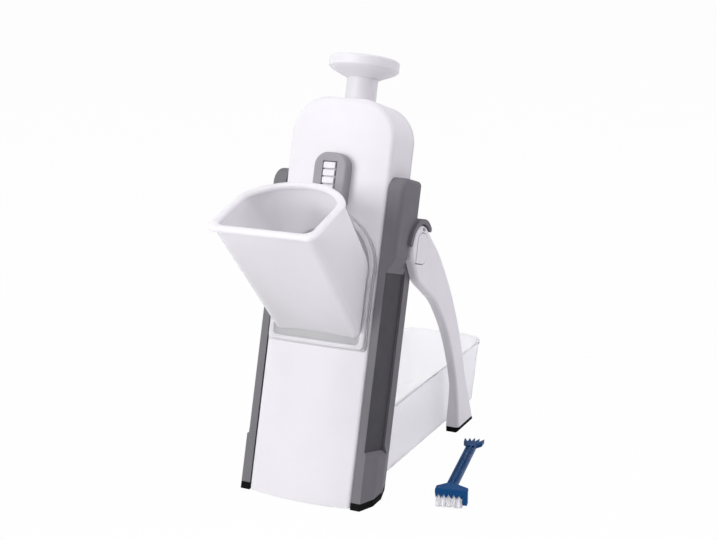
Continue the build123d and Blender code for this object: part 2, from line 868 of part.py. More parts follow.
def chute_loft(inset):
    """The chute's outer form, or its inside a wall deeper, from its rim to behind the body's front."""
    throat = Pos(0, throat_bottom + inset) * mouth_face(
        throat_half_width - inset, throat_height - 2 * inset, throat_side_share
    )
    mouth = Pos(0, inset) * mouth_face(
        mouth_half_width - inset, mouth_length() - 2 * inset, mouth_side_share
    )
    return loft([Plane.XZ * throat, mouth_plane() * mouth], ruled=True)


def flange_face(inset):
    """The outline of the chute's flange, or of the inside of its border."""
    bottom, shoulder, apex = (
        body_height * share for share in (flange_bottom_share, flange_shoulder_share, flange_apex_share)
    )
    half_width = body_half_width - flange_inset
    face = arch_face(half_width - inset, bottom + inset, shoulder, apex - inset)
    return fillet(face.vertices().sort_by(Axis.Y)[:2], flange_corner_radius)


def make_chute():
    """Feed chute with its bordered flange and rolled rim."""
    tube = chute_loft(0) - chute_loft(chute_wall) - bow_solid(running_gap)
    outer, ring_outer, ring_inner = (
        front_prism(flange_face(inset), -front_bow - overrun, panel_return)
        for inset in (0, flange_margin, flange_margin + flange_border_width)
    )
    plate = outer & bow_band(running_gap, running_gap + flange_thickness)
    border = (ring_outer - ring_inner) & bow_band(running_gap, running_gap + flange_border_height)
    throat = Pos(0, throat_bottom + chute_wall) * mouth_face(
        throat_half_width - chute_wall, throat_height - 2 * chute_wall, throat_side_share
    )
    rim_outer, rim_inner = (
        Pos(0, inset) * mouth_face(mouth_half_width - inset, mouth_length() - 2 * inset, mouth_side_share)
        for inset in (-rim_overhang, chute_wall + rim_lip)
    )
    rim = extrude(mouth_plane() * (rim_outer - rim_inner), -rim_thickness)
    rim = fillet(rim.edges(), rim_round)
    chute = tube + plate + border - chute_loft(chute_wall)
    chute -= front_prism(throat, -flange_thickness, body_depth)
    return stand(chute + rim)


def make_lock_housing():
    """Grey tab above the chute, with a pocket for the slider."""
    face = domed_face(lock_half_width, lock_bottom, lock_top, lock_crown_radius)
    tab = front_prism(face, -lock_front, panel_return)
    tab = fillet(rim_edges(tab.faces().sort_by(Axis.Y)[0]), lock_edge_radius)
    pocket_x = slider_base + running_gap
    pocket_z = (slider_bottom - slider_travel - running_gap, slider_top + running_gap)
    pocket = block((-pocket_x, pocket_x), (-lock_front - overrun, -lock_pocket_floor), pocket_z)
    return stand(tab - bow_solid(0) - pocket)


def make_lock_slider():
    """Ribbed slider on a wider base, at the top of its pocket."""
    back = -lock_pocket_floor - running_gap
    heights = (slider_bottom, slider_top)
    slider = block((-slider_base, slider_base), (back - slider_base_thickness, back), heights)
    slider += block((-slider_half_width, slider_half_width), (back - slider_thickness, back), heights)
    pitch = slider_length / slider_ridges
    ridge = pitch * slider_ridge_share
    for n in range(slider_ridges):
        middle = slider_bottom + pitch * (n + 1 / 2)
        slider += block(
            (-slider_half_width, slider_half_width),
            (back - slider_thickness - slider_ridge_rise, back - slider_thickness),
            (middle - ridge / 2, middle + ridge / 2),
        )
    return stand(slider)


def turned(profile):
    """A round piece on the plunger's axis from a half profile drawn in radius and height."""
    return Pos(0, stem_depth, 0) * revolve(Plane.XZ * profile, Axis.Z)


def make_knob():
    """Plunger knob: a plug for the stem, a flared underside and a rounded disc."""
    plug_radius = stem_inner - seat_gap
    plug_bottom = knob_bottom - knob_plug
    root = (stem_radius + knob_root_width, knob_bottom)
    flare_end = (knob_flare_radius, knob_bottom + knob_flare_height)
    rim_low = (knob_radius, knob_bottom + knob_edge_height)
    rim_high = (knob_radius, knob_bottom + knob_edge_height + knob_rim_height)
    crown = (knob_shoulder_radius, knob_top)
    plug_end = [(0, plug_bottom), (plug_radius, plug_bottom)]
    plug = Polyline((0, knob_top), *plug_end, (plug_radius, knob_bottom), root)
    cone = Line(root, flare_end)
    edge = TangentArc(flare_end, rim_low, tangent=cone % 1)
    side = Line(rim_low, rim_high)
    shoulder = RadiusArc(rim_high, crown, knob_shoulder_radius - knob_radius)
    roof = Line(crown, (0, knob_top))
    return stand(turned(closed_face(plug, cone, edge, side, shoulder, roof)))


def make_stem():
    """Hollow stem between the knob and the carriage."""
    start = (0, stem_depth, stem_bottom)
    length = knob_bottom - stem_bottom
    return stand(rod("z", start, stem_radius, length) - rod("z", start, stem_inner, length))


def make_spring_post():
    """Post on the cover's shelf that the return spring stands round."""
    flange = rod("z", (0, stem_depth, shelf_top), post_flange_radius, post_flange_height)
    length = body_height * post_top_share - shelf_top
    return stand(flange + rod("z", (0, stem_depth, shelf_top), post_radius, length))


def make_return_spring():
    """Return spring inside the stem, pressed short as the plunger is down."""
    low = shelf_top + post_flange_height + spring_wire + seat_gap
    length = knob_bottom - knob_plug - spring_wire - seat_gap - low
    print("return spring gap", coil_gap(spring_radius, spring_wire, length, spring_coils))
    return stand(Pos(0, stem_depth, low) * coil(spring_radius, spring_wire, length, spring_coils))


def chevron(half_width, low, high):
    """An outline between two parallel vees that rise to the middle."""
    return make_face(
        Polyline(
            (-half_width, low),
            (0, low + blade_vee),
            (half_width, low),
            (half_width, high),
            (0, high + blade_vee),
            (-half_width, high),
            close=True,
        )
    )


def blade_screw_places():
    """Where the blade's screws stand, across and up the body."""
    places = []
    for share in blade_screw_x_shares:
        rise = blade_vee * (1 - abs(share) * blade_half_width / carriage_half_width)
        places.append((share * blade_half_width, blade_edge + rise + blade_screw_rise))
    return places


def make_carriage():
    """Sliding plate that carries the blade and is driven by the stem."""
    edge = blade_edge + blade_reach
    plate = make_face(
        Polyline(
            (-carriage_half_width, edge),
            (0, edge + blade_vee),
            (carriage_half_width, edge),
            (carriage_half_width, carriage_top),
            (-carriage_half_width, carriage_top),
            close=True,
        )
    )
    plate = fillet(plate.vertices().group_by(Axis.Y)[-1], crown_radius - body_wall)
    carriage = front_prism(plate, carriage_front, carriage_back)
    height = carriage_top - bracket_bottom
    carriage += rod("z", (0, stem_depth, bracket_bottom), bracket_radius, height)
    carriage += block(
        (-bracket_radius, bracket_radius), (carriage_front, stem_depth), (bracket_bottom, carriage_top)
    )
    carriage -= rod("z", (0, stem_depth, stem_bottom), stem_radius + seat_gap, height)
    carriage -= rod("z", (0, stem_depth, bracket_bottom - overrun), stem_inner, height + overrun)
    rebate = chevron(blade_half_width + seat_gap, blade_edge - overrun, blade_edge + blade_height + seat_gap)
    carriage -= front_prism(rebate, carriage_back - blade_thickness - seat_gap, carriage_back + overrun)
    for x, z in blade_screw_places():
        start = carriage_back - blade_screw_length
        carriage -= rod("y", (x, start, z), blade_screw_radius + seat_gap, blade_screw_length)
    return stand(carriage)


def make_blade():
    """Steel blade with a vee-shaped ground edge."""
    back = carriage_back - seat_gap / 2
    blade = front_prism(
        chevron(blade_half_width, blade_edge, blade_edge + blade_height), back - blade_thickness, back
    )
    front = back - blade_thickness
    wedge = make_face(
        Polyline(
            (front - overrun, blade_edge + blade_bevel + overrun * blade_bevel / blade_bevel_depth),
            (front + blade_bevel_depth, blade_edge),
            (front - overrun, blade_edge),
            close=True,
        )
    )
    slant = (blade_half_width, 0, blade_vee)
    ground = extrude(
        Plane.YZ.offset(-blade_half_width) * wedge, amount=math.hypot(blade_half_width, blade_vee), dir=slant
    )
    blade -= ground
    blade -= mirror(ground, about=Plane.YZ)
    for x, z in blade_screw_places():
        blade -= rod("y", (x, carriage_front, z), blade_screw_radius + seat_gap, carriage_thickness + overrun)
    return stand(blade)


def make_blade_screws():
    """Flat-headed screws that hold the blade on the carriage."""
    screws = []
    for x, z in blade_screw_places():
        start = carriage_back - blade_screw_length + seat_gap
        screws.append(stand(rod("y", (x, start, z), blade_screw_radius, blade_screw_length - seat_gap)))
    return Compound(children=screws)


def make_thickness_plate():
    """Plate behind the blade that sets how thick a slice is, with its nut boss."""
    plate = block(
        (-plate_half_width, plate_half_width),
        (plate_front, plate_back),
        (body_height * plate_bottom_share, body_height * plate_top_share),
    )
    plate += rod("y", (0, plate_back, setting_height), plate_boss_radius, plate_boss_back - plate_back)
    plate -= rod("y", (0, plate_back, setting_height), setting_screw_radius + pivot_gap, plate_boss_back)
    return stand(plate)


def make_thickness_screw():
    """Screw that the dial turns and the thickness plate rides on."""
    length = setting_screw_end - setting_screw_tip
    screw = rod("y", (0, setting_screw_tip, setting_height), setting_screw_radius, length)
    screw += rod("y", (0, setting_collar_front, setting_height), setting_collar_radius, setting_collar_length)
    end = (0, setting_screw_end - dial_screw_length, setting_height)
    return stand(screw - rod("y", end, dial_screw_radius + seat_gap, dial_screw_length + overrun))


def make_dial():
    """Thickness dial at the back, with finger flutes and a pointer groove."""
    dial = rod("y", (0, dial_front, setting_height), dial_radius, dial_thickness)
    dial = chamfer(dial.faces().sort_by(Axis.Y)[-1].edges(), dial_edge_chamfer)
    for n in range(dial_flutes):
        x, z = polar(dial_radius + dial_flute_radius / 2, 360 * (n + 1 / 2) / dial_flutes)
        flute_start = (x, dial_front - overrun, setting_height + z)
        dial -= rod("y", flute_start, dial_flute_radius, dial_thickness + 2 * overrun)
    socket = setting_screw_end - dial_front + overrun + seat_gap
    dial -= rod("y", (0, dial_front - overrun, setting_height), setting_screw_radius + seat_gap, socket)
    dial -= rod("y", (0, dial_front, setting_height), dial_screw_radius + seat_gap, dial_thickness + overrun)
    head_start = dial_back - dial_screw_head_height
    dial -= rod("y", (0, head_start, setting_height), dial_screw_head_radius + seat_gap, overrun)
    pointer_low = setting_height + dial_radius - dial_pointer_length - dial_edge_chamfer
    dial -= block(
        (-dial_pointer_width / 2, dial_pointer_width / 2),
        (dial_back - dial_pointer_depth, dial_back + overrun),
        (pointer_low, pointer_low + dial_pointer_length),
    )
    return stand(dial)


def make_dial_screw():
    """Screw that holds the dial on the thickness screw."""
    seat = dial_back - dial_screw_head_height
    start = setting_screw_end - dial_screw_length + seat_gap
    shank = rod("y", (0, start, setting_height), dial_screw_radius, seat - start)
    return stand(shank + rod("y", (0, seat, setting_height), dial_screw_head_radius, dial_screw_head_height))


def bin_face(half_width, front, back, back_corner, inset):
    """Plan of the container at one height, with larger corners at its back."""
    face = Pos(0, (front + back) / 2) * Rectangle(2 * (half_width - inset), back - front - 2 * inset)
    face = fillet(face.vertices().group_by(Axis.Y)[0], bin_front_corner - inset)
    return fillet(face.vertices().group_by(Axis.Y)[-1], back_corner - inset)


def bin_loft(inset, floor):
    """The container's outer form, or its inside a wall deeper."""
    bottom = bin_face(bin_bottom_half_width, bin_front_bottom, bin_back_bottom, bin_back_bottom_corner, inset)
    top = bin_face(bin_top_half_width, bin_front_top, bin_back_top, bin_back_top_corner, inset)
    return loft([Pos(0, 0, floor) * bottom, Pos(0, 0, bin_height + floor) * top], ruled=True)


def make_container():
    """Open-topped drafted container with a rolled rim."""
    rim_face = bin_face(bin_top_half_width, bin_front_top, bin_back_top, bin_back_top_corner, -bin_rim_width)
    rim = extrude(Pos(0, 0, bin_height - bin_rim_height) * rim_face, bin_rim_height)
    return place(bin_loft(0, 0) + rim - bin_loft(bin_wall, bin_floor))


def lay_brush(piece):
    """Turn the brush on the table and move it to its place."""
    return place(Pos(brush_x, brush_y, 0) * (Rot(0, 0, brush_turn) * piece))


def handle_outline():
    """Plan of the brush's handle with its toothed fan."""
    points = [(-handle_half_width, 0), (handle_half_width, 0), (handle_half_width, fork_front)]
    step = 2 * fork_half_width / fork_teeth
    for n in range(fork_teeth):
        right = fork_half_width - step * n
        middle = right - step / 2
        fall = fork_fan_share * abs(middle) / fork_half_width
        rise = (fork_tip - fork_root) * (1 - fall)
        fan = (fork_tip - fork_root) * fork_fan_share * abs(right) / fork_half_width
        points.append((right, fork_root - fan))
        points.append((middle * (1 + fork_fan_share), fork_root + rise))
    points.append((-fork_half_width, fork_root - (fork_tip - fork_root) * fork_fan_share))
    points.append((-handle_half_width, fork_front))
    return make_face(Polyline(*points, close=True))


def brush_grip():
    """The grooved handle, sloping down from the head to its toothed end on the table."""
    grip = plan_prism(handle_outline(), 0, handle_thickness)
    for side in (-1, 1):
        groove_x = sorted((side * handle_groove_inner, side * handle_groove_outer))
        grip -= block(
            groove_x,
            (handle_groove_front, handle_groove_back),
            (handle_thickness - handle_groove_depth, handle_thickness + overrun),
        )
    slope = math.degrees(math.asin(handle_root / fork_tip))
    return Pos(0, handle_start, handle_root) * (Rot(-slope, 0, 0) * grip)


def make_brush_handle():
    """Brush handle: head with a scalloped skirt over the tufts, a side prong and the grip."""
    right = brush_head_half_width + brush_prong_width
    head_face = make_face(
        Polyline(
            (-brush_head_half_width, -brush_head_half_depth),
            (right, -brush_head_half_depth),
            (right, brush_head_side_back),
            (handle_half_width, brush_shoulder_back),
            (-handle_half_width, brush_shoulder_back),
            (-brush_head_half_width, brush_head_side_back),
            close=True,
        )
    )
    head = plan_prism(head_face, brush_head_bottom, brush_head_top)
    head = fillet(head.faces().sort_by(Axis.Z)[-1].outer_wire().edges(), brush_edge_radius)
    saw = [(-brush_head_half_width, brush_head_bottom + seat_gap)]
    for n in range(tufts + 1):
        x = (n - tufts / 2) * tuft_pitch
        saw.append((x, brush_skirt_tip))
        if n < tufts:
            saw.append((x + tuft_pitch / 2, brush_skirt_notch))
    saw.append((brush_head_half_width, brush_head_bottom + seat_gap))
    skirt_back = brush_skirt_thickness - brush_head_half_depth
    skirt = front_prism(make_face(Polyline(*saw, close=True)), -brush_head_half_depth, skirt_back)
    prong = block(
        (brush_head_half_width, right),
        (-brush_head_half_depth, brush_prong_depth - brush_head_half_depth),
        (brush_prong_bottom, brush_head_bottom + seat_gap),
    )
    return lay_brush(head + skirt + prong + brush_grip())


def make_bristles():
    """Five fanned tufts of three-sided strands on a slice of backing."""
    half_depth = ((tuft_rows - 1) * strand_pitch + strand_width) / 2 + tuft_backing_margin
    half_tuft = ((tuft_columns - 1) * strand_pitch + strand_width) / 2 + tuft_backing_margin
    half_width = (tufts - 1) * tuft_pitch / 2 + half_tuft
    low = brush_head_bottom - tuft_backing
    backing = block((-half_width, half_width), (-half_depth, half_depth), (low, brush_head_bottom))
    root = low + strand_root
    strands = []
    for tuft in range(tufts):
        centre = (tuft - (tufts - 1) / 2) * tuft_pitch
        for column in range(tuft_columns):
            for row in range(tuft_rows):
                across = (column - (tuft_columns - 1) / 2) * strand_pitch
                along = (row - (tuft_rows - 1) / 2) * strand_pitch
                section = Pos(centre + across, along, root) * RegularPolygon(strand_width / 2, strand_sides)
                reach = Vector(across * strand_spread_share, along * strand_spread_share, -root)
                strands.append(extrude(section, amount=reach.length, dir=reach).solid())
    return lay_brush(backing.fuse(*strands))


def main():
    """Build every piece and write one file for each."""
    hull = body_hull()
    rail_form = rail_blank()
    leg_form = leg_blank()
    pieces = {
        "front_shell": make_front_shell(hull),
        "rear_cover": make_rear_cover(hull),
        "cover_screws": make_cover_screws(),
        "rail_screws": make_rail_screws(),
        "feed_chute": make_chute(),
        "lock_housing": make_lock_housing(),
        "lock_slider": make_lock_slider(),
        "plunger_knob": make_knob(),
        "plunger_stem": make_stem(),
        "spring_post": make_spring_post(),
        "return_spring": make_return_spring(),
        "blade_carriage": make_carriage(),
        "slicing_blade": make_blade(),
        "blade_screws": make_blade_screws(),
        "thickness_plate": make_thickness_plate(),
        "thickness_screw": make_thickness_screw(),
        "thickness_knob": make_dial(),
        "thickness_knob_screw": make_dial_screw(),
        "catch_container": make_container(),
        "brush_handle": make_brush_handle(),
        "brush_bristles": make_bristles(),
    }
    right_pieces = {
        "rail": make_rail(rail_form),
        "rail_foot": table_slice(stand(rail_form), rail_foot_thickness),
        "leg": make_leg(leg_form),
        "leg_foot": table_slice(place(leg_form), leg_foot_thickness),
        "leg_pivot_washer": make_leg_washer(),
        "leg_pivot_screw": make_leg_screw(),
        "leg_release_button": make_button(),
        "leg_button_spring": make_button_spring(),
    }
    for name, piece in right_pieces.items():
        pieces["right_" + name] = piece
        pieces["left_" + name] = mirror(piece, about=Plane.YZ)
    os.makedirs("parts", exist_ok=True)
    for name, piece in pieces.items():
        export_step(piece, f"parts/{name}.step")


main()
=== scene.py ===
import json
import math
import random

import bmesh
import bpy
from mathutils import Matrix, Vector


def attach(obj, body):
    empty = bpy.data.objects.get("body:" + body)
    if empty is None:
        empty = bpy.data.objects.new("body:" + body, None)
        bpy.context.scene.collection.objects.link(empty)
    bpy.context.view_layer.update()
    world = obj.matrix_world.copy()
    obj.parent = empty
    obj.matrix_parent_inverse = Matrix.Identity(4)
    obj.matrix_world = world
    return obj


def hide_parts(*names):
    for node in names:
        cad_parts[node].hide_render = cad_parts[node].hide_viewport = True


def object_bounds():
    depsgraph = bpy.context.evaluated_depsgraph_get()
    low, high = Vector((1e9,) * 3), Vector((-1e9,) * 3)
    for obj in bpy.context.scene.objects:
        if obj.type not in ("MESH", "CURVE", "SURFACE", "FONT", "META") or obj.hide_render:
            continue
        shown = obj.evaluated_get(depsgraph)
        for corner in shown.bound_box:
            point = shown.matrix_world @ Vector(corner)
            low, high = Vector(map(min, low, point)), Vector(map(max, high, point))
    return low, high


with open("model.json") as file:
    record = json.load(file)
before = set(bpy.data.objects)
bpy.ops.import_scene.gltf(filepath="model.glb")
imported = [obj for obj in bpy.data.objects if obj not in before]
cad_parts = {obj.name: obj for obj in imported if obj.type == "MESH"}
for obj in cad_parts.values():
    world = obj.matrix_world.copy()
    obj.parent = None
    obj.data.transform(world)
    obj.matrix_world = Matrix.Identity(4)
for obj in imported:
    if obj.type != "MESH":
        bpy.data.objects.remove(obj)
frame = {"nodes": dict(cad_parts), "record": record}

# Lengths are in metres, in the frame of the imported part.
cad_low, cad_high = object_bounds()
nodes = frame["nodes"]
slot_of = {row["node"]: row["material_slot"] for row in frame["record"]["subparts"]}

# Camera, as the photograph was taken
image_width = 716
focal_pixels = 1327.0
sensor_width = 36.0
camera_azimuth = 25.7
camera_elevation = 14.4
camera_place = (0.4678, -0.9777, 0.4408)

# Light
key_place = (-0.95, -2.3, 0.95)
key_size = 1.2
key_power = 35.4
top_place = (-0.1, -0.45, 1.9)
top_size = 1.0
top_power = 11.6
fill_place = (1.6, 1.0, 0.9)
fill_size = 1.0
fill_power = 13.4
fill_tint = (0.97, 0.925, 1.0)
soft_light = (0.342, 0.328, 0.37)
floor_shade = 0.86
floor_glow_share = 0.975
floor_size = 40.0
floor_drop = 0.0004

# Body frame, leaning back from the table
lean = math.radians(15.9)
body_setback = 0.115
body_depth = 0.046
body_height = 0.323

# Surface detail: the used part of a noise, patches of shade and gloss, softened edges, steel lines
noise_low = 0.3
noise_high = 0.7
shade_patch = 0.05
gloss_patch = 0.012
patch_detail = 3.0
grain_detail = 2.0
edge_softness = 0.0006
edge_samples = 6
line_size = 0.0006
line_detail = 4.0
line_depth = 0.000004
line_shade_share = 0.85
ground_stretch = (1, 1, 0.05)
steel_edge_softness = 0.0002

# Grey mouldings: the rails with painted shade on the floors of their pockets, and the lock's lighter
# housing
rail_dark = (0.172, 0.17, 0.178)
rail_light = (0.198, 0.196, 0.205)
# Painted shade for the pockets' floors, with the reach and facing that pick those floors out
painted_pocket_shade = (0.07, 0.069, 0.074)
pocket_reach = 0.0525
pocket_facing = 0.9
mix_first, mix_second, mix_result = 6, 7, 2
lock_dark = (0.34, 0.338, 0.35)
lock_light = (0.38, 0.378, 0.39)

# Screws with cross recesses at the back
cover_screw_x = 0.038
cover_screw_shares = (0.356, 0.882)
cover_head_radius = 0.0031
cover_head_height = 0.0018
cover_shank_radius = 0.0015
cover_shank_length = 0.012
dial_screw_share = 0.514
dial_screw_back = 0.0594
dial_head_radius = 0.0035
dial_head_height = 0.0016
dial_shank_radius = 0.0014
dial_shank_length = 0.006
recess_arm_share = 0.62
recess_width_share = 0.2
recess_depth_share = 0.7
recess_floor_arm_share = 0.6
recess_floor_width_share = 0.7
head_face_share = 0.9
head_bevel_share = 0.2
screw_sides = 40

# Brush tufts
brush_place = (0.1129, 0.0408 - body_setback, 0.0)
brush_turn = math.radians(12.5)
tufts = 5
tuft_pitch = 0.0041
tuft_radius = 0.0019
tuft_strands = 190
tuft_root = 0.0123
tuft_tip_spread = 0.0007
tuft_spread_shares = (0.5, 1.3)
tuft_splay = 0.0024
tuft_splay_shares = (0.6, 1.2)
tuft_ragged = 0.0018
tuft_seed = 7
golden_turn = math.pi * (3 - math.sqrt(5))
core_share = 0.88
core_sides = 24
strand_radius = 0.00021
strand_taper_share = 0.35
strand_bend = 0.0005
strand_rings = 4
strand_sides = 4
backing_half_width = 0.0101
backing_half_depth = 0.003
backing_low = 0.0116
backing_high = 0.0128


class Shader:
    """A material's node tree around one Principled shader, in object coordinates."""

    def __init__(self, name):
        self.material = bpy.data.materials.new(name)
        self.material.use_nodes = True
        self.tree = self.material.node_tree
        self.surface = self.tree.nodes["Principled BSDF"]
        self.coordinates = self.add("ShaderNodeTexCoord").outputs["Object"]

    def add(self, kind, **values):
        """A new node with its settings."""
        node = self.tree.nodes.new(kind)
        for key, value in values.items():
            setattr(node, key, value)
        return node

    def link(self, start, end):
        """Join an output to an input."""
        self.tree.links.new(start, end)

    def set(self, **values):
        """Constants on the shader's own sockets, named in lower case."""
        for key, value in values.items():
            socket = key.replace("_", " ").title().replace("Ior", "IOR")
            self.surface.inputs[socket].default_value = value

    def noise(self, size, detail=patch_detail, stretch=(1, 1, 1)):
        """Noise whose features are about size across, stretched along the axes."""
        mapping = self.add("ShaderNodeMapping")
        mapping.inputs["Scale"].default_value = stretch
        self.link(self.coordinates, mapping.inputs["Vector"])
        noise = self.add("ShaderNodeTexNoise")
        noise.inputs["Scale"].default_value = 1 / size
        noise.inputs["Detail"].default_value = detail
        self.link(mapping.outputs["Vector"], noise.inputs["Vector"])
        return noise.outputs["Fac"]

    def between(self, factor, low, high, socket):
        """Drive a number socket from low to high by a noise factor."""
        spread = self.add("ShaderNodeMapRange")
        spread.inputs["From Min"].default_value = noise_low
        spread.inputs["From Max"].default_value = noise_high
        spread.inputs["To Min"].default_value = low
        spread.inputs["To Max"].default_value = high
        self.link(factor, spread.inputs["Value"])
        self.link(spread.outputs["Result"], socket)

    def tint(self, factor, dark, light):
        """Base colour that drifts between two shades."""
        ramp = self.add("ShaderNodeValToRGB")
        ramp.color_ramp.elements[0].position = noise_low
        ramp.color_ramp.elements[0].color = (*dark, 1)
        ramp.color_ramp.elements[1].position = noise_high
        ramp.color_ramp.elements[1].color = (*light, 1)
        self.link(factor, ramp.inputs["Fac"])
        self.link(ramp.outputs["Color"], self.surface.inputs["Base Color"])

    def across(self, vector, operation, limit):
        """1 where the size of a vector's x is under or over a limit, else 0."""
        split = self.add("ShaderNodeSeparateXYZ")
        size = self.add("ShaderNodeMath", operation="ABSOLUTE")
        test = self.add("ShaderNodeMath", operation=operation)
        test.inputs[1].default_value = limit
        self.link(vector, split.inputs[0])
        self.link(split.outputs["X"], size.inputs[0])
        self.link(size.outputs[0], test.inputs[0])
        return test.outputs[0]

    def relief(self, factor, height, edge_radius):
        """Fine surface relief on edges that are softened by a small radius."""
        edge = self.add("ShaderNodeBevel", samples=edge_samples)
        edge.inputs["Radius"].default_value = edge_radius
        bump = self.add("ShaderNodeBump")
        bump.inputs["Strength"].default_value = 1.0
        bump.inputs["Distance"].default_value = height
        self.link(factor, bump.inputs["Height"])
        self.link(edge.outputs["Normal"], bump.inputs["Normal"])
        self.link(bump.outputs["Normal"], self.surface.inputs["Normal"])


def moulded(name, dark, light, roughness, grain_size, grain_height, softness=edge_softness):
    """Moulded plastic or rubber: drifting shade, uneven gloss and a fine grain."""
    shader = Shader(name)
    shader.tint(shader.noise(shade_patch), dark, light)
    shader.between(shader.noise(gloss_patch), *roughness, shader.surface.inputs["Roughness"])
    shader.relief(shader.noise(grain_size, detail=grain_detail), grain_height, softness)
    return shader


def white_plastic():
    shader = moulded(
        "white_plastic",
        dark=(0.768, 0.763, 0.776),
        light=(0.796, 0.791, 0.804),
        roughness=(0.34, 0.46),
        grain_size=0.0012,
        grain_height=0.00002,
    )
    shader.set(specular_ior_level=0.3)
    shader.set(subsurface_weight=0.2, subsurface_scale=0.002, subsurface_radius=(1, 1, 1))
    return shader.material


def chute_plastic():
    """Whiter plastic that lets light into the chute."""
    shader = moulded(
        "chute_plastic",
        dark=(0.915, 0.892, 0.93),
        light=(0.945, 0.922, 0.96),
        roughness=(0.36, 0.46),
        grain_size=0.0014,
        grain_height=0.00002,
    )
    shader.set(specular_ior_level=0.3)
    shader.set(subsurface_weight=0.9, subsurface_scale=0.018, subsurface_radius=(1, 0.97, 1))
    return shader.material


def grey_plastic(name, dark, light):
    shader = moulded(name, dark, light, roughness=(0.55, 0.68), grain_size=0.0005, grain_height=0.00004)
    shader.set(specular_ior_level=0.08)
    return shader


def rail_plastic():
    """The grey of the rails, with painted shade on the floor of the long pockets in their sides."""
    shader = grey_plastic("rail_plastic", rail_dark, rail_light)
    tone = shader.surface.inputs["Base Color"].links[0].from_socket
    # Painted shade: sideways-facing faces within the pockets' reach take a flat darker grey in place of
    # the rail's tone
    inside = shader.across(shader.coordinates, "LESS_THAN", pocket_reach)
    facing = shader.add("ShaderNodeNewGeometry").outputs["Normal"]
    sideways = shader.across(facing, "GREATER_THAN", pocket_facing)
    floor = shader.add("ShaderNodeMath", operation="MULTIPLY")
    shader.link(inside, floor.inputs[0])
    shader.link(sideways, floor.inputs[1])
    mix = shader.add("ShaderNodeMix", data_type="RGBA")
    shader.link(floor.outputs[0], mix.inputs["Factor"])
    shader.link(tone, mix.inputs[mix_first])
    mix.inputs[mix_second].default_value = (*painted_pocket_shade, 1)
    shader.link(mix.outputs[mix_result], shader.surface.inputs["Base Color"])
    return shader.material


def foot_rubber():
    shader = moulded(
        "foot_rubber",
        dark=(0.004, 0.004, 0.004),
        light=(0.008, 0.008, 0.008),
        roughness=(0.75, 0.9),
        grain_size=0.0008,
        grain_height=0.00005,
    )
    shader.set(specular_ior_level=0.06)
    return shader.material


def frosted_plastic():
    """The container's clear plastic with a frosted face."""
    shader = moulded(
        "frosted_plastic",
        dark=(0.94, 0.937, 0.962),
        light=(0.965, 0.962, 0.985),
        roughness=(0.3, 0.42),
        grain_size=0.001,
        grain_height=0.00003,
    )
    shader.set(transmission_weight=0.85, ior=1.12, specular_ior_level=0.3)
    return shader.material


def blue_plastic():
    shader = moulded(
        "blue_plastic",
        dark=(0.005, 0.05, 0.155),
        light=(0.008, 0.066, 0.195),
        roughness=(0.38, 0.5),
        grain_size=0.0011,
        grain_height=0.00002,
        softness=0.0003,
    )
    shader.set(specular_ior_level=0.06)
    return shader.material


def bristle_nylon():
    shader = moulded(
        "bristle_nylon",
        dark=(0.93, 0.93, 0.94),
        light=(0.97, 0.97, 0.98),
        roughness=(0.4, 0.55),
        grain_size=0.0007,
        grain_height=0.00001,
        softness=0.0001,
    )
    shader.set(specular_ior_level=0.5, sheen_weight=0.6, sheen_roughness=0.4)
    return shader.material


def steel(name, shade, roughness, stretch=(1, 1, 1)):
    """Steel with fine drawn or ground lines."""
    shader = Shader(name)
    lines = shader.noise(line_size, detail=line_detail, stretch=stretch)
    shader.tint(lines, [line_shade_share * value for value in shade], shade)
    shader.between(lines, *roughness, shader.surface.inputs["Roughness"])
    shader.relief(lines, line_depth, steel_edge_softness)
    shader.set(metallic=1.0)
    return shader.material


def dress_nodes():
    """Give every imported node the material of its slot."""
    materials = {
        "white_plastic": white_plastic(),
        "chute_plastic": chute_plastic(),
        "grey_plastic": grey_plastic("grey_plastic", rail_dark, rail_light).material,
        "foot_rubber": foot_rubber(),
        "frosted_plastic": frosted_plastic(),
        "blue_plastic": blue_plastic(),
        "bristle_nylon": bristle_nylon(),
        "blade_steel": steel(
            "blade_steel", (0.62, 0.62, 0.64), roughness=(0.2, 0.34), stretch=ground_stretch
        ),
        "spring_steel": steel("spring_steel", (0.5, 0.5, 0.52), roughness=(0.25, 0.4)),
        "screw_steel": steel("screw_steel", (0.56, 0.56, 0.58), roughness=(0.22, 0.36)),
    }
    rail = rail_plastic()
    lock = grey_plastic("lock_plastic", lock_dark, lock_light).material
    special = {"left_rail": rail, "right_rail": rail, "lock_housing": lock}
    for name, node in nodes.items():
        node.data.materials.clear()
        node.data.materials.append(special.get(name, materials[slot_of[name]]))
    return materials


def new_piece(name, mesh, body, material):
    """A mesh piece that rides on a body and takes a slot's finish."""
    data = bpy.data.meshes.new(name)
    mesh.to_mesh(data)
    mesh.free()
    data.materials.append(material)
    piece = bpy.data.objects.new(name, data)
    bpy.context.scene.collection.objects.link(piece)
    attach(piece, body)
    return piece


def body_matrix(x, depth, height):
    """Place on the leaning body, with z pointing out of its back and y up the body."""
    back = Vector((0, math.cos(lean), -math.sin(lean)))
    up = Vector((0, math.sin(lean), math.cos(lean)))
    place = Vector((x, -body_setback, 0)) + back * depth + up * height
    turn = Matrix((Vector((-1, 0, 0)), up, back)).transposed().to_4x4()
    return Matrix.Translation(place) @ turn


def ring(mesh, radius, height, sides=screw_sides):
    """A loop of vertices round z."""
    angles = [2 * math.pi * n / sides for n in range(sides)]
    return [mesh.verts.new((radius * math.cos(a), radius * math.sin(a), height)) for a in angles]


def bridge(mesh, first, second):
    """Faces between two loops of the same count."""
    count = len(first)
    for n in range(count):
        mesh.faces.new((first[n], first[(n + 1) % count], second[(n + 1) % count], second[n]))


def cross_loop(mesh, arm, width, height):
    """The twelve corners of a cross round z."""
    corners = []
    for quarter in range(4):
        turn = Matrix.Rotation(quarter * math.pi / 2, 3, "Z")
        for x, y in ((width, -width), (arm, -width), (arm, width)):
            corners.append(mesh.verts.new(turn @ Vector((x, y, height))))
    return corners


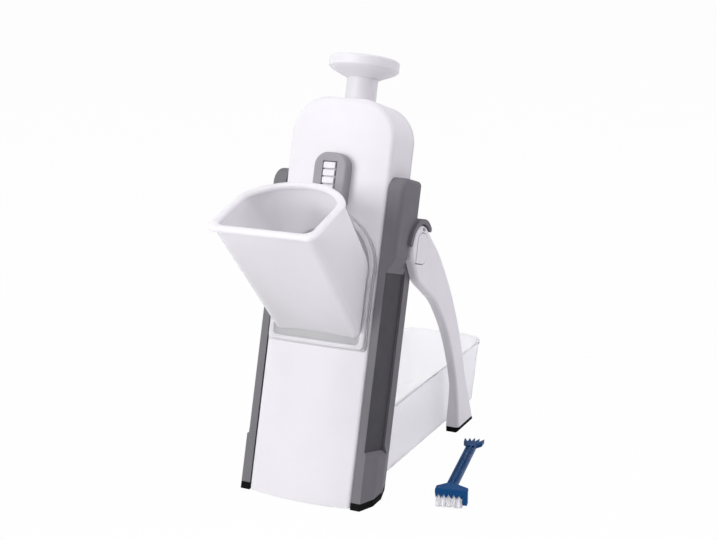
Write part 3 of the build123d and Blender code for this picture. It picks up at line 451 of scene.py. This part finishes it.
def loop_edges(mesh, loop):
    """Edges that close a loop of vertices."""
    return [mesh.edges.new((loop[n], loop[(n + 1) % len(loop)])) for n in range(len(loop))]


def add_screw(mesh, matrix, head_radius, head_height, shank_radius, shank_length):
    """A cheese-head screw with a tapered cross recess, its head's top at the matrix's origin."""
    screw = bmesh.new()
    arm = head_radius * recess_arm_share
    width = head_radius * recess_width_share
    depth = head_height * recess_depth_share
    edge = ring(screw, head_radius * head_face_share, 0)
    opening = cross_loop(screw, arm, width, 0)
    outlines = loop_edges(screw, edge) + loop_edges(screw, opening)
    bmesh.ops.triangle_fill(screw, edges=outlines, use_beauty=True)
    floor = cross_loop(screw, arm * recess_floor_arm_share, width * recess_floor_width_share, -depth)
    bridge(screw, opening, floor)
    screw.faces.new(floor)
    levels = (
        (head_radius, -head_height * head_bevel_share),
        (head_radius, -head_height),
        (shank_radius, -head_height),
        (shank_radius, -head_height - shank_length),
    )
    last = edge
    for radius, height in levels:
        loop = ring(screw, radius, height)
        bridge(screw, last, loop)
        last = loop
    screw.faces.new(last)
    bmesh.ops.recalc_face_normals(screw, faces=screw.faces)
    screw.transform(matrix)
    data = bpy.data.meshes.new("screw")
    screw.to_mesh(data)
    screw.free()
    mesh.from_mesh(data)
    bpy.data.meshes.remove(data)


def make_cover_screws(materials):
    """The rear cover's four screws."""
    mesh = bmesh.new()
    for x in (-cover_screw_x, cover_screw_x):
        for share in cover_screw_shares:
            matrix = body_matrix(x, body_depth, body_height * share)
            add_screw(
                mesh, matrix, cover_head_radius, cover_head_height, cover_shank_radius, cover_shank_length
            )
    screws = new_piece("cover_screws_recessed", mesh, "frame", materials["screw_steel"])
    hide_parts("cover_screws")


def make_dial_screw(materials):
    """The screw in the middle of the thickness dial."""
    mesh = bmesh.new()
    matrix = body_matrix(0, dial_screw_back, body_height * dial_screw_share)
    add_screw(mesh, matrix, dial_head_radius, dial_head_height, dial_shank_radius, dial_shank_length)
    screw = new_piece(
        "dial_screw_recessed", mesh, "thickness_dial", materials["screw_steel"]
    )
    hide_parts("thickness_knob_screw")


def add_strand(mesh, root, tip, bow):
    """A tapered nylon strand from root to tip, bowed sideways."""
    last = None
    for n in range(strand_rings):
        share = n / (strand_rings - 1)
        centre = root.lerp(tip, share) + bow * (4 * share * (1 - share))
        radius = strand_radius * (1 - strand_taper_share * share)
        loop = ring(mesh, radius, 0, strand_sides)
        for vert in loop:
            vert.co += centre
        if last:
            bridge(mesh, last, loop)
        else:
            mesh.faces.new(loop)
        last = loop
    mesh.faces.new(reversed(last))


def add_core(mesh, centre):
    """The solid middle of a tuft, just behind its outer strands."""
    root = ring(mesh, tuft_radius * core_share, tuft_root, core_sides)
    tip = ring(mesh, (tuft_radius + tuft_tip_spread) * core_share, tuft_ragged, core_sides)
    for vert in root:
        vert.co.x += centre
    for vert in tip:
        vert.co += Vector((centre, -tuft_splay * core_share, 0))
    bridge(mesh, root, tip)
    mesh.faces.new(root)
    mesh.faces.new(tip)


def make_bristles(materials):
    """Five full, splayed tufts on their backing, under the brush's head."""
    draw = random.Random(tuft_seed)
    mesh = bmesh.new()
    slab = bmesh.ops.create_cube(mesh, size=1.0)["verts"]
    for vert in slab:
        vert.co.x *= 2 * backing_half_width
        vert.co.y *= 2 * backing_half_depth
        vert.co.z = backing_low + (vert.co.z + 0.5) * (backing_high - backing_low)
    for tuft in range(tufts):
        centre = (tuft - (tufts - 1) / 2) * tuft_pitch
        add_core(mesh, centre)
        for n in range(tuft_strands):
            angle = n * golden_turn
            reach = math.sqrt((n + 0.5) / tuft_strands)
            out = Vector((math.cos(angle), math.sin(angle), 0)) * reach
            root = Vector((centre, 0, tuft_root)) + out * tuft_radius
            spread = tuft_tip_spread * draw.uniform(*tuft_spread_shares)
            splay = tuft_splay * draw.uniform(*tuft_splay_shares)
            tip = Vector((root.x, root.y - splay, 0)) + out * spread
            tip.z = draw.uniform(0.0, tuft_ragged) + strand_radius
            bow = Vector((draw.uniform(-1, 1), draw.uniform(-1, 1), 0)) * strand_bend
            add_strand(mesh, root, tip, bow)
    bmesh.ops.recalc_face_normals(mesh, faces=mesh.faces)
    mesh.transform(Matrix.Translation(brush_place) @ Matrix.Rotation(brush_turn, 4, "Z"))
    bristles = new_piece("brush_tufts", mesh, "brush", materials["bristle_nylon"])
    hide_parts("brush_bristles")


def seen_ray(tree):
    """1 for camera, glossy and transmission rays, else 0."""
    path = tree.nodes.new("ShaderNodeLightPath")
    total = None
    for name in ("Is Camera Ray", "Is Glossy Ray", "Is Transmission Ray"):
        if total is None:
            total = path.outputs[name]
            continue
        most = tree.nodes.new("ShaderNodeMath")
        most.operation = "MAXIMUM"
        tree.links.new(total, most.inputs[0])
        tree.links.new(path.outputs[name], most.inputs[1])
        total = most.outputs[0]
    return total


def make_floor():
    """Pale floor that shows white, with a trace of the object's shadow."""
    mesh = bmesh.new()
    bmesh.ops.create_grid(mesh, x_segments=1, y_segments=1, size=floor_size / 2)
    data = bpy.data.meshes.new("floor")
    mesh.to_mesh(data)
    mesh.free()
    material = bpy.data.materials.new("floor_paper")
    material.use_nodes = True
    tree = material.node_tree
    tree.nodes.remove(tree.nodes["Principled BSDF"])
    matte = tree.nodes.new("ShaderNodeBsdfDiffuse")
    matte.inputs["Color"].default_value = (floor_shade, floor_shade, floor_shade, 1)
    glow = tree.nodes.new("ShaderNodeEmission")
    share = tree.nodes.new("ShaderNodeMath")
    share.operation = "MULTIPLY"
    share.inputs[1].default_value = floor_glow_share
    mix = tree.nodes.new("ShaderNodeMixShader")
    tree.links.new(seen_ray(tree), share.inputs[0])
    tree.links.new(share.outputs[0], mix.inputs["Fac"])
    tree.links.new(matte.outputs[0], mix.inputs[1])
    tree.links.new(glow.outputs[0], mix.inputs[2])
    tree.links.new(mix.outputs[0], tree.nodes["Material Output"].inputs["Surface"])
    data.materials.append(material)
    floor = bpy.data.objects.new("floor", data)
    floor.location.z = -floor_drop
    bpy.context.scene.collection.objects.link(floor)


def make_world():
    """Even studio light, with a white background for what the camera sees."""
    world = bpy.data.worlds.new("studio")
    bpy.context.scene.world = world
    world.use_nodes = True
    tree = world.node_tree
    soft = tree.nodes["Background"]
    soft.inputs["Color"].default_value = (*soft_light, 1)
    white = tree.nodes.new("ShaderNodeBackground")
    white.inputs["Color"].default_value = (1, 1, 1, 1)
    mix = tree.nodes.new("ShaderNodeMixShader")
    tree.links.new(seen_ray(tree), mix.inputs["Fac"])
    tree.links.new(soft.outputs[0], mix.inputs[1])
    tree.links.new(white.outputs[0], mix.inputs[2])
    tree.links.new(mix.outputs[0], tree.nodes["World Output"].inputs["Surface"])


def add_lamp(name, place, size, power, tint=(1, 1, 1)):
    """A soft square lamp turned to the middle of the object."""
    data = bpy.data.lights.new(name, "AREA")
    data.size = size
    data.energy = power
    data.color = tint
    lamp = bpy.data.objects.new(name, data)
    lamp.location = place
    middle = (cad_low + cad_high) / 2
    lamp.rotation_mode = "QUATERNION"
    lamp.rotation_quaternion = (middle - lamp.location).to_track_quat("-Z", "Y")
    bpy.context.scene.collection.objects.link(lamp)


def make_camera():
    """The photograph's camera."""
    data = bpy.data.cameras.new("camera")
    data.sensor_width = sensor_width
    data.lens = focal_pixels / image_width * sensor_width
    camera = bpy.data.objects.new("camera", data)
    around, above = math.radians(camera_azimuth), math.radians(camera_elevation)
    ahead = Vector((
        -math.sin(around) * math.cos(above),
        math.cos(around) * math.cos(above),
        -math.sin(above),
    ))
    camera.location = camera_place
    camera.rotation_mode = "QUATERNION"
    camera.rotation_quaternion = ahead.to_track_quat("-Z", "Y")
    bpy.context.scene.collection.objects.link(camera)
    bpy.context.scene.camera = camera


bpy.context.scene.view_settings.view_transform = "Standard"
finishes = dress_nodes()
make_cover_screws(finishes)
make_dial_screw(finishes)
make_bristles(finishes)
make_floor()
make_world()
add_lamp("key", key_place, key_size, key_power)
add_lamp("top", top_place, top_size, top_power)
add_lamp("fill", fill_place, fill_size, fill_power, fill_tint)
make_camera()
